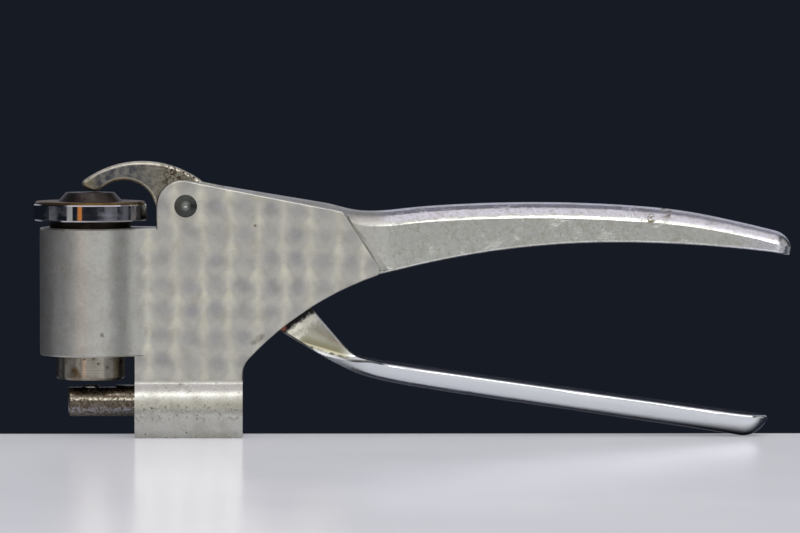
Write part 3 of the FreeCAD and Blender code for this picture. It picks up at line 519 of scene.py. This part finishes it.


# Lever: worn steel hook, rusty by the pivot, tarnished in the dished neck, bright plating on the grip;
# painted highlights along the hook's edges and the neck's top edge, and a painted highlight and painted
# shade in the neck

pressLever = {
    # edges of the forging as they are seen from the side
    "backArc": (-17.4, 61.75, 34.6),  # X and Z of the middle, and radius, of the hook's back
    "throatArc": (-23.64, 78.87, 11.1),
    "exitArc": (101.1, -48.0, 110.9),  # the frame's belly, where the neck comes out
    "neckTop": (41.2, 46.6, -1.2),  # X, Z and slope of the neck's upper edge
    "tarnishLine": (38.4, 33.1, -0.302),  # and of the stained line along the neck
    # regions: a pair is the start and end of a soft change, three are from, to and how soft
    "hookX": (24.0, 16.0),
    "gripX": (50.0, 62.0),
    "lowZ": (60.0, 56.0),  # below the slab, and short of the grip
    "lowX": (66.0, 58.0),
    "neckX": (26.0, 54.0, 4.0),
    "rimZ": (74.0, 78.0),
    "backRim": (1.1, 0.5),  # how wide the painted highlights along the hook's edges are
    "throatRim": (1.2, 0.5),
    # how wide the painted highlight along the neck's top edge is
    "neckRim": (1.6, 0.9),
    "neckRimX": (37.0, 52.0, 1.5),
    "tarnishX": (38.0, 54.0, 2.5),
    "bandTop": (5.0, 0.4),  # distances over the stained line
    "bandFoot": (-0.8, 0.0),
    "edge": (-0.5, 0.3, 0.3),
    "under": (-0.6, -1.6),
    "underX": (34.0, 58.0, 4.0),
    "hookBackX": (-26.0, -6.0),
    "noseX": (-31.0, -37.0),
    # colours
    "gripColour": paint(242, 244, 244),
    "hookColour": paint(70, 74, 86),
    "hookLight": paint(142, 140, 133),
    "hookBack": paint(188, 181, 156),
    "hookBackShare": 0.5,
    # painted highlight along the hook's back and throat edges
    "hookRim": paint(246, 241, 220),
    "noseColour": paint(176, 164, 132),
    "noseShare": 0.7,
    # the neck's plating as a shaded and a lit copy: painted shade further from the frame, painted
    # highlight near it
    "neckColour": paint(182, 182, 168),
    "neckLight": paint(252, 250, 236),
    "rustColour": paint(74, 56, 36),
    "tarnishColour": paint(120, 114, 80),
    "tarnishShare": 0.8,
    "edgeColour": paint(200, 195, 168),  # a light line along the stained one
    "crudColour": paint(24, 21, 18),
    "redColour": paint(176, 112, 84),
    "redSpot": (31.8, 38.2, 1.6),  # a little red rust where the neck comes out
    # noise: scale and detail
    "cloud": (0.14, 5.0),
    "mottle": (0.55, 7.0),
    "mottleEdge": (0.36, 0.7),
    # wear
    "crudJag": 4.0,  # how uneven the black edge by the frame is, and where it ends
    "crudEdge": (5.2, 3.6),
    "crumbs": dict(Size=1.5, Cover=0.3),
    "crumbReach": (6.0, 2.0),
    "crumbShare": 0.8,
    "dashes": dict(Size=1.6, Cover=0.5, Soft=0.06),
    "dashLine": (-1.0, -0.3, 0.3),
    "dashShare": 0.7,
    "cloudy": dict(Size=9.0, Cover=0.6, Soft=0.15),
    "cloudyShare": 0.35,
    # how uneven the edge of the neck's painted highlight is, and where it ends
    "rubbedJag": 9.0,
    "rubbedEdge": (12.0, 7.5),
    "rust": dict(Size=1.1, Cover=0.46, Soft=0.07),
    "rustX": (-11.0, 4.0, 4.0),
    "rustZ": (80.0, 84.0),
    "noseRust": dict(Size=1.7, Cover=0.4),
    "noseRustX": (-24.0, -30.0),
    "noseRustShare": 0.7,
    "worn": dict(Angle=0.25, Length=24.0, Spacing=0.7, Amount=0.6),
    "wornShare": 0.6,
    "hookWorn": dict(Angle=-0.3, Length=9.0, Spacing=0.5, Amount=0.9),
    # surface
    "rough": (0.08, 0.26),  # off the hook, and on it
    "roughBy": dict(cloud=0.08, neck=0.16, rim=0.14, under=0.2, worn=0.12, tarnish=0.14, dirt=0.4),
    "dirtMetal": 0.25,
    "uneven": (0.2, 0.7),
    "heightBy": dict(uneven=1.0, dirt=0.6, cloud=0.5, worn=-0.7),
    "bump": 0.00003,
}


def leverFinish():
    lever = pressLever
    made, tree, shader, mm = newFinish("platedLever")
    x, _, z = split(tree, mm)
    grip = rise(tree, x, *lever["gripX"])
    hook = rise(tree, x, *lever["hookX"])
    low = times(tree, rise(tree, z, *lever["lowZ"]), rise(tree, x, *lever["lowX"]))
    neck = times(tree, between(tree, x, *lever["neckX"]), low)
    cloud = noiseAt(tree, mm, *lever["cloud"])
    mottle = noiseAt(tree, mm, *lever["mottle"])

    # how far a point is from the frame's edge where the neck comes out, and from the lever's own edges
    fromExit = insideArc(tree, x, z, *lever["exitArc"])
    fromBack = insideArc(tree, x, z, *lever["backArc"])
    fromThroat = times(tree, insideArc(tree, x, z, *lever["throatArc"]), -1.0)
    fromTop = less(tree, lineAt(tree, x, *lever["neckTop"]), z)
    overLine = less(tree, z, lineAt(tree, x, *lever["tarnishLine"]))
    # painted highlight along the hook's back and throat edges
    rim = most(tree, rise(tree, fromBack, *lever["backRim"]), rise(tree, fromThroat, *lever["throatRim"]))
    rim = times(tree, rim, hook, rise(tree, z, *lever["rimZ"]))
    # painted highlight along the neck's top edge
    neckRim = times(tree, rise(tree, fromTop, *lever["neckRim"]), between(tree, x, *lever["neckRimX"]))

    reach = between(tree, x, *lever["tarnishX"])
    band = times(tree, rise(tree, overLine, *lever["bandTop"]), rise(tree, overLine, *lever["bandFoot"]))
    band = times(tree, band, reach, low)
    edge = times(tree, between(tree, overLine, *lever["edge"]), reach)
    under = times(tree, rise(tree, overLine, *lever["under"]), between(tree, x, *lever["underX"]), low)
    cloudy = placeGroup(tree, stains, Vector=mm, **lever["cloudy"])
    tarnish = most(tree, band, times(tree, cloudy, neck, lever["cloudyShare"]))

    # a near-black jagged band along the frame's edge where the neck comes out, joined by crumbs beside it
    # and dashes along the stained line
    jagged = added(tree, mottle, lever["crudJag"], fromExit)
    darkMarks = times(tree, rise(tree, jagged, *lever["crudEdge"]), low)
    crumbs = placeGroup(tree, pits, Vector=mm, **lever["crumbs"])
    crumbs = times(tree, crumbs, rise(tree, fromExit, *lever["crumbReach"]), low, lever["crumbShare"])
    dashes = placeGroup(tree, stains, Vector=mm, **lever["dashes"])
    dashes = times(tree, dashes, between(tree, overLine, *lever["dashLine"]), reach, lever["dashShare"])
    darkMarks = most(tree, darkMarks, crumbs, dashes)

    rust = placeGroup(tree, stains, Vector=mm, **lever["rust"])
    rust = times(tree, rust, between(tree, x, *lever["rustX"]), rise(tree, z, *lever["rustZ"]))
    noseRust = placeGroup(tree, pits, Vector=mm, **lever["noseRust"])
    noseRust = times(tree, noseRust, rise(tree, x, *lever["noseRustX"]), hook, lever["noseRustShare"])
    rust = most(tree, rust, noseRust)
    dirt = most(tree, rust, darkMarks)
    hookWorn = times(tree, placeGroup(tree, scratches, Vector=mm, **lever["hookWorn"]), hook)
    worn = times(tree, placeGroup(tree, scratches, Vector=mm, **lever["worn"]), lever["wornShare"])
    worn = most(tree, worn, hookWorn)

    steel = mixed(tree, rise(tree, mottle, *lever["mottleEdge"]), lever["hookColour"], lever["hookLight"])
    hookBack = times(tree, rise(tree, x, *lever["hookBackX"]), lever["hookBackShare"])
    steel = mixed(tree, hookBack, steel, lever["hookBack"])
    nose = times(tree, rise(tree, x, *lever["noseX"]), lever["noseShare"])
    steel = mixed(tree, nose, steel, lever["noseColour"])
    steel = mixed(tree, rim, steel, lever["hookRim"])
    # painted highlight on the neck near the frame's edge, painted shade further out
    rubbed = rise(tree, added(tree, mottle, lever["rubbedJag"], fromExit), *lever["rubbedEdge"])
    neckTone = mixed(tree, rubbed, lever["neckColour"], lever["neckLight"])
    neckTone = mixed(tree, neckRim, neckTone, lever["gripColour"])
    plated = mixed(tree, grip, neckTone, lever["gripColour"])
    colour = mixed(tree, hook, plated, steel)
    colour = mixed(tree, hookWorn, colour, lever["hookLight"])
    colour = mixed(tree, times(tree, tarnish, lever["tarnishShare"]), colour, lever["tarnishColour"])
    colour = mixed(tree, edge, colour, lever["edgeColour"])
    colour = mixed(tree, under, colour, lever["gripColour"])
    colour = mixed(tree, rust, colour, lever["rustColour"])
    colour = mixed(tree, darkMarks, colour, lever["crudColour"])
    colour = mixed(tree, spotAt(tree, x, z, *lever["redSpot"]), colour, lever["redColour"])
    feed(tree, shader.inputs["Base Color"], colour)

    rough = builtUp(
        tree, level(tree, hook, *lever["rough"]), lever["roughBy"],
        cloud=cloud, neck=neck, rim=rim, under=under, worn=worn, tarnish=tarnish, dirt=dirt,
    )
    feed(tree, shader.inputs["Roughness"], rough)
    feed(tree, shader.inputs["Metallic"], level(tree, dirt, 1.0, lever["dirtMetal"]))
    uneven = times(tree, mottle, level(tree, hook, *lever["uneven"]))
    height = builtUp(tree, 0.0, lever["heightBy"], uneven=uneven, dirt=dirt, cloud=cloud, worn=worn)
    bumped(tree, shader, height, lever["bump"])
    return made


# Turned steel pieces: one finish for each, from the same effects

ramAxis = (-35.55, 0, 0)
pinAxis = (-2, 0, 81)
hornAxis = (0, 0, 12.45)
turnedPieces = {
    "blued_steel": dict(
        colour=(66, 69, 66), second=(86, 88, 84), rough=0.22, pitch=0.6, centre=pinAxis, axis="Y",
        # a light middle on the pin's domed end, a painted highlight
        tooling=0.3, middle=dict(reach=2.2, rubbed=(178, 180, 174)),
    ),
    "disc_chrome": dict(
        colour=(214, 212, 210), second=(184, 184, 194), rough=0.05, pitch=0.8,
        pitCover=0.04, tooling=0.04,
    ),
    "plate_brass": dict(colour=(130, 108, 64), second=(96, 70, 44), rough=0.3, pitch=0.6),
    "black_steel": dict(colour=(66, 60, 56), second=(92, 86, 80), rough=0.34, pitch=0.5),
    # the cup is nearly black: its own dark steel, darkened further as painted shade under the cap disc
    "cup_steel": dict(colour=(52, 46, 38), second=(34, 28, 22), rough=0.4, pitch=0.6),
    "ram_steel": dict(
        colour=(186, 181, 166), second=(118, 90, 58), rough=0.17, pitch=0.4,
        stainSize=9.0, stainCover=0.36, tooling=0.4,
    ),
    "horn_steel": dict(
        colour=(126, 118, 106), second=(92, 79, 62), rough=0.2, pitch=0.7, centre=hornAxis, axis="X",
        pitSize=0.8, pitCover=0.5, stainSize=1.2, stainCover=0.5, tooling=1.5,
        # bands by height: a painted highlight line, a painted reflection of the table below it and
        # painted shade along the top under the ram
        worn=(
            dict(height=13.3, half=0.45, rubbed=(255, 248, 226)),
            dict(height=9.4, half=1.0, rubbed=(178, 176, 184)),
            dict(height=16.8, half=1.8, rubbed=(40, 33, 26)),
        ),
    ),
    "bronze": dict(colour=(166, 128, 82), second=(120, 86, 52), rough=0.35, pitch=0.5),
    "washer_steel": dict(
        colour=(150, 150, 150), second=(110, 104, 96), rough=0.3, pitch=0.4, centre=pinAxis, axis="Y",
    ),
    "spring_steel": dict(colour=(96, 96, 100), second=(66, 60, 54), rough=0.3, pitch=0.6),
    "die_steel": dict(colour=(170, 168, 164), second=(128, 116, 100), rough=0.22, pitch=0.4),
    "screw_steel": dict(colour=(60, 60, 64), second=(88, 84, 78), rough=0.34, pitch=0.3),
}
turnedLook = {
    "stainSoft": 0.14,
    "holeShare": 0.7,
    "holeDark": 0.4,  # colour of a hole, as a share of the second colour
    "broken": dict(Size=0.9, Cover=0.48, Soft=0.1),  # breaks up the painted bands of highlight, reflection and shade
    "polish": -0.04,  # between the marks it is less rough
    "roughBy": dict(stain=0.12, marks=0.08, hole=0.2),
    "heightBy": dict(marks=1.0, hole=-0.8),
    "bump": 0.00002,
}
axisTurns = {"X": (0, -math.pi / 2, 0), "Y": (math.pi / 2, 0, 0), "Z": (0, 0, 0)}


def turnedFinish(
    name, colour, second, rough, pitch, centre=ramAxis, axis="Z",
    stainSize=6.0, stainCover=0.4, pitSize=1.6, pitCover=0.12, tooling=1.0, worn=(), middle=None,
):
    look = turnedLook
    made, tree, shader, mm = newFinish(name)
    centred = addNode(tree, "VectorMath", {0: mm, 1: centre}, operation="SUBTRACT").outputs[0]
    turn = {"Vector": centred, "Rotation": axisTurns[axis]}
    upright = addNode(tree, "VectorRotate", turn, rotation_type="EULER_XYZ").outputs[0]
    marks = placeGroup(tree, turning, Vector=upright, Pitch=pitch)
    stain = placeGroup(tree, stains, Vector=mm, Size=stainSize, Cover=stainCover, Soft=look["stainSoft"])
    hole = placeGroup(tree, pits, Vector=mm, Size=pitSize, Cover=pitCover)

    tone = mixed(tree, stain, paint(*colour), paint(*second))
    dark = paint(*[part * look["holeDark"] for part in second])
    tone = mixed(tree, times(tree, hole, look["holeShare"]), tone, dark)
    z = split(tree, mm)[2]
    # painted bands of light and shade, by height
    for band in worn:
        height, half = band["height"], band["half"]
        broken = placeGroup(tree, stains, Vector=mm, **look["broken"])
        shown = times(tree, broken, between(tree, z, height - half, height + half, half))
        tone = mixed(tree, shown, tone, paint(*band["rubbed"]))
    # a light middle round the axis, a painted highlight on the pin
    if middle:
        across = split(tree, upright)
        shown = rise(tree, farness(tree, across[0], across[1]), middle["reach"], 0.0)
        tone = mixed(tree, shown, tone, paint(*middle["rubbed"]))
    feed(tree, shader.inputs["Base Color"], tone)

    gloss = builtUp(tree, rough + look["polish"], look["roughBy"], stain=stain, marks=marks, hole=hole)
    feed(tree, shader.inputs["Roughness"], gloss)
    height = builtUp(tree, 0.0, look["heightBy"], marks=marks, hole=hole)
    bumped(tree, shader, height, look["bump"] * tooling)
    return made


finishes = {"cast_aluminium": castFinish(), "plated_steel": leverFinish()}
for slotName, values in turnedPieces.items():
    finishes[slotName] = turnedFinish(slotName.replace("_", ""), **values)
for name, node in nodes.items():
    for place in node.material_slots:
        slotName = place.material.name.split(".")[0]
        if slotName in finishes:
            place.material = finishes[slotName]
        else:
            print("no finish for", name, slotName)
print("finishes placed:", len(finishes))


# Return spring inside the barrel: a wound coil at the length of the spring part, fixed to the frame

returnSpring = {
    "wire": 0.0009,  # radius of the wire, in metres
    "coil": 0.0106,  # radius of the coil at the middle of the wire
    "turns": 5.5,
    "steps": 64,  # points along each turn
    "sides": 16,  # points around the wire
}


def coilTree():
    tree = bpy.data.node_groups.new("woundCoil", "GeometryNodeTree")
    sizes = {
        "Wire": "Float", "Coil": "Float", "Turns": "Float", "Height": "Float",
        "Steps": "Int", "Sides": "Int", "Place": "Vector", "Steel": "Material",
    }
    for name, kind in sizes.items():
        tree.interface.new_socket(name=name, in_out="INPUT", socket_type="NodeSocket" + kind)
    tree.interface.new_socket(name="Mesh", in_out="OUTPUT", socket_type="NodeSocketGeometry")
    given = tree.nodes.new("NodeGroupInput").outputs

    def step(kind, **inputs):
        node = tree.nodes.new("GeometryNode" + kind)
        for name, source in inputs.items():
            feed(tree, node.inputs[name.replace("_", " ")], source)
        return node.outputs[0]

    path = step(
        "CurveSpiral", Resolution=given["Steps"], Rotations=given["Turns"], Start_Radius=given["Coil"],
        End_Radius=given["Coil"], Height=given["Height"],
    )
    wire = step("CurvePrimitiveCircle", Resolution=given["Sides"], Radius=given["Wire"])
    tube = step("CurveToMesh", Curve=path, Profile_Curve=wire, Fill_Caps=True)
    placed = step("Transform", Geometry=tube, Translation=given["Place"])
    smooth = step("SetShadeSmooth", Geometry=placed)
    whole = step("RealizeInstances", Geometry=smooth)
    finished = step("SetMaterial", Geometry=whole, Material=given["Steel"])
    tree.links.new(finished, tree.nodes.new("NodeGroupOutput").inputs["Mesh"])
    return tree


def makeSpring():
    low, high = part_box("return_spring")
    wire = returnSpring["wire"]
    length = high[2] - low[2]
    middle = ramAxis[0] / mmPerMetre
    values = {
        "Wire": wire,
        "Coil": returnSpring["coil"],
        "Turns": returnSpring["turns"],
        "Height": length - 2 * wire,
        "Steps": returnSpring["steps"],
        "Sides": returnSpring["sides"],
        "Place": (middle, 0.0, low[2] + wire),
        "Steel": finishes["spring_steel"],
    }
    spring = bpy.data.objects.new("woundSpring", bpy.data.meshes.new("woundSpring"))
    scene.collection.objects.link(spring)
    maker = spring.modifiers.new("coil", "NODES")
    maker.node_group = coilTree()
    for item in maker.node_group.interface.items_tree:
        if item.in_out == "INPUT":
            maker[item.identifier] = values[item.name]
    shown = spring.evaluated_get(bpy.context.evaluated_depsgraph_get())
    spring.data = bpy.data.meshes.new_from_object(shown)
    spring.modifiers.clear()
    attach(spring, "frame")
    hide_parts("return_spring")
    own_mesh(spring)


makeSpring()
print("return spring wound")


# Table, light and camera

table = {
    "front": -3.2,
    "bend": 0.004,
    "curve": 0.014,  # length of the bend, and points along it
    "steps": 12,
    "drop": 0.11,  # slope behind it
    "back": 2.2,
    "side": 2.4,
    "colour": paint(238, 238, 243),
    "second": paint(246, 245, 248),
    "cloud": (0.01, 3.0),  # scale and detail of the noise between the two
    "rough": (0.14, 0.2),
    "unlit": paint(0, 0, 0),
    "lift": 0.25,  # keeps the table pale to the camera
    "mirrored": paint(245, 246, 250),  # as the metal shows it
    "mirroredShade": paint(40, 44, 58),  # close to the press, and far from it
    "mirroredFront": (-11.0, -3.0),  # millimetres in front of the mid-plane where it turns light
    "mirroredLean": (60.0, 0.1),  # from this X on that line runs away to the front, with this slope
    "mirroredBack": (90.0, 160.0),
    "mirroredFar": (600.0, 750.0),
}


def makeTable():
    # flat in front and under the press, then bending down gently behind it
    line = [(table["front"], 0.0), (table["bend"], 0.0)]
    for step in range(1, table["steps"] + 1):
        away = table["curve"] * step / table["steps"]
        line.append((table["bend"] + away, -table["drop"] * away ** 2 / (2 * table["curve"])))
    run = table["back"] - line[-1][0]
    line.append((table["back"], line[-1][1] - table["drop"] * run))
    points = [(side, along, height) for along, height in line for side in (-table["side"], table["side"])]
    faces = [(2 * i, 2 * i + 1, 2 * i + 3, 2 * i + 2) for i in range(len(line) - 1)]
    mesh = bpy.data.meshes.new("tableTop")
    mesh.from_pydata(points, [], faces)
    top = bpy.data.objects.new("tableTop", mesh)
    scene.collection.objects.link(top)
    made, tree, shader, mm = newFinish("paleTable", 0.0)
    cloud = noiseAt(tree, mm, *table["cloud"])
    pale = mixed(tree, cloud, table["colour"], table["second"])
    x, y, _ = split(tree, mm)
    leanStart, leanSlope = table["mirroredLean"]
    past = most(tree, less(tree, x, leanStart), 0.0)
    ahead = added(tree, past, -leanSlope, times(tree, y, -1.0))
    lit = most(tree, rise(tree, ahead, *table["mirroredFront"]), rise(tree, y, *table["mirroredBack"]))
    far = rise(tree, calc(tree, "ABSOLUTE", y), *table["mirroredFar"])
    lit = less(tree, lit, far)
    reflected = mixed(tree, lit, table["mirroredShade"], table["mirrored"])
    mirrored = addNode(tree, "LightPath").outputs["Is Glossy Ray"]
    feed(tree, shader.inputs["Base Color"], mixed(tree, mirrored, pale, reflected))
    seen = addNode(tree, "LightPath").outputs["Is Camera Ray"]
    feed(tree, shader.inputs["Emission Color"], mixed(tree, seen, table["unlit"], table["colour"]))
    shader.inputs["Emission Strength"].default_value = table["lift"]
    feed(tree, shader.inputs["Roughness"], level(tree, cloud, *table["rough"]))
    mesh.materials.append(made)


pressMiddle = (0.06, 0.0, 0.05)
white = (255, 255, 255)
lamps = {
    "keyStrip": dict(place=(0.35, -0.79, 1.09), size=(1.8, 0.22), power=4.0),
    "frontFill": dict(place=(0.38, -2.0, 0.91), size=(3.4, 1.56), power=15.9),
    "overhead": dict(place=(0.1, -0.22, 1.25), size=(1.8, 1.0), power=4.1, colour=(252, 247, 255)),
    "upperBack": dict(place=(0.1, 0.75, 1.15), size=(1.8, 0.9), power=1.1, colour=(240, 238, 255)),
    "backPanel": dict(place=(0.1, 1.5, 0.8), size=(2.2, 1.0), power=3.5, colour=(236, 238, 255)),
    "leftStrip": dict(place=(-0.95, -1.1, 0.15), size=(0.3, 0.3), power=0.11),
    "warmStrip": dict(place=(-0.55, -1.5, 0.15), size=(0.24, 0.3), power=0.13, colour=(255, 158, 58)),
    "rightCard": dict(place=(0.95, -1.0, 0.15), size=(0.7, 0.3), power=0.09, colour=(240, 240, 255)),
    "leftSide": dict(place=(-1.25, 0.25, 0.75), size=(0.9, 0.8), power=0.4),
    "rightSide": dict(place=(1.45, 0.1, 0.75), size=(1.1, 0.8), power=1.2),
}


def makeLamp(name, place, size, power, colour=white):
    lamp = bpy.data.lights.new(name, "AREA")
    lamp.shape = "RECTANGLE"
    lamp.size, lamp.size_y = size
    lamp.energy = power
    lamp.color = paint(*colour)[:3]
    holder = bpy.data.objects.new(name, lamp)
    scene.collection.objects.link(holder)
    holder.location = place
    holder.visible_camera = False
    way = [there - here for here, there in zip(place, pressMiddle)]
    flat = math.hypot(way[0], way[1])
    holder.rotation_euler = (math.atan2(flat, -way[2]), 0.0, math.atan2(-way[0], way[1]))


backdrop = {"night": paint(23, 27, 36), "fill": paint(190, 194, 204), "fillStrength": 0.35}


def makeBackdrop():
    world = bpy.data.worlds.new("studio")
    scene.world = world
    world.use_nodes = True
    tree = world.node_tree
    tree.nodes.clear()
    path = addNode(tree, "LightPath").outputs
    seen = most(tree, path["Is Camera Ray"], path["Is Glossy Ray"], path["Is Transmission Ray"])
    fill = addNode(tree, "Background", {"Color": backdrop["fill"], "Strength": backdrop["fillStrength"]})
    night = addNode(tree, "Background", {"Color": backdrop["night"], "Strength": 1.0})
    choice = addNode(tree, "MixShader", {0: seen, 1: fill.outputs[0], 2: night.outputs[0]})
    out = tree.nodes.new("ShaderNodeOutputWorld")
    tree.links.new(choice.outputs[0], out.inputs["Surface"])


view = {
    "place": (0.03305, -1.89958, 0.152),
    "down": 2.788,  # degrees
    "right": 1.2,
    "roll": 0.055,
    "lens": 244.08,  # millimetres
    "sensor": 36.0,
    "near": 0.01,
}


def makeCamera():
    lens = bpy.data.cameras.new("sideView")
    lens.sensor_width = view["sensor"]
    lens.lens = view["lens"]
    lens.clip_start = view["near"]
    holder = bpy.data.objects.new("sideView", lens)
    scene.collection.objects.link(holder)
    holder.location = view["place"]
    turn = (90 - view["down"], -view["roll"], -view["right"])
    holder.rotation_euler = [math.radians(angle) for angle in turn]
    scene.camera = holder


makeTable()
for lampName, values in lamps.items():
    makeLamp(lampName, **values)
makeBackdrop()
makeCamera()
scene.view_settings.view_transform = "Standard"
print("studio ready")
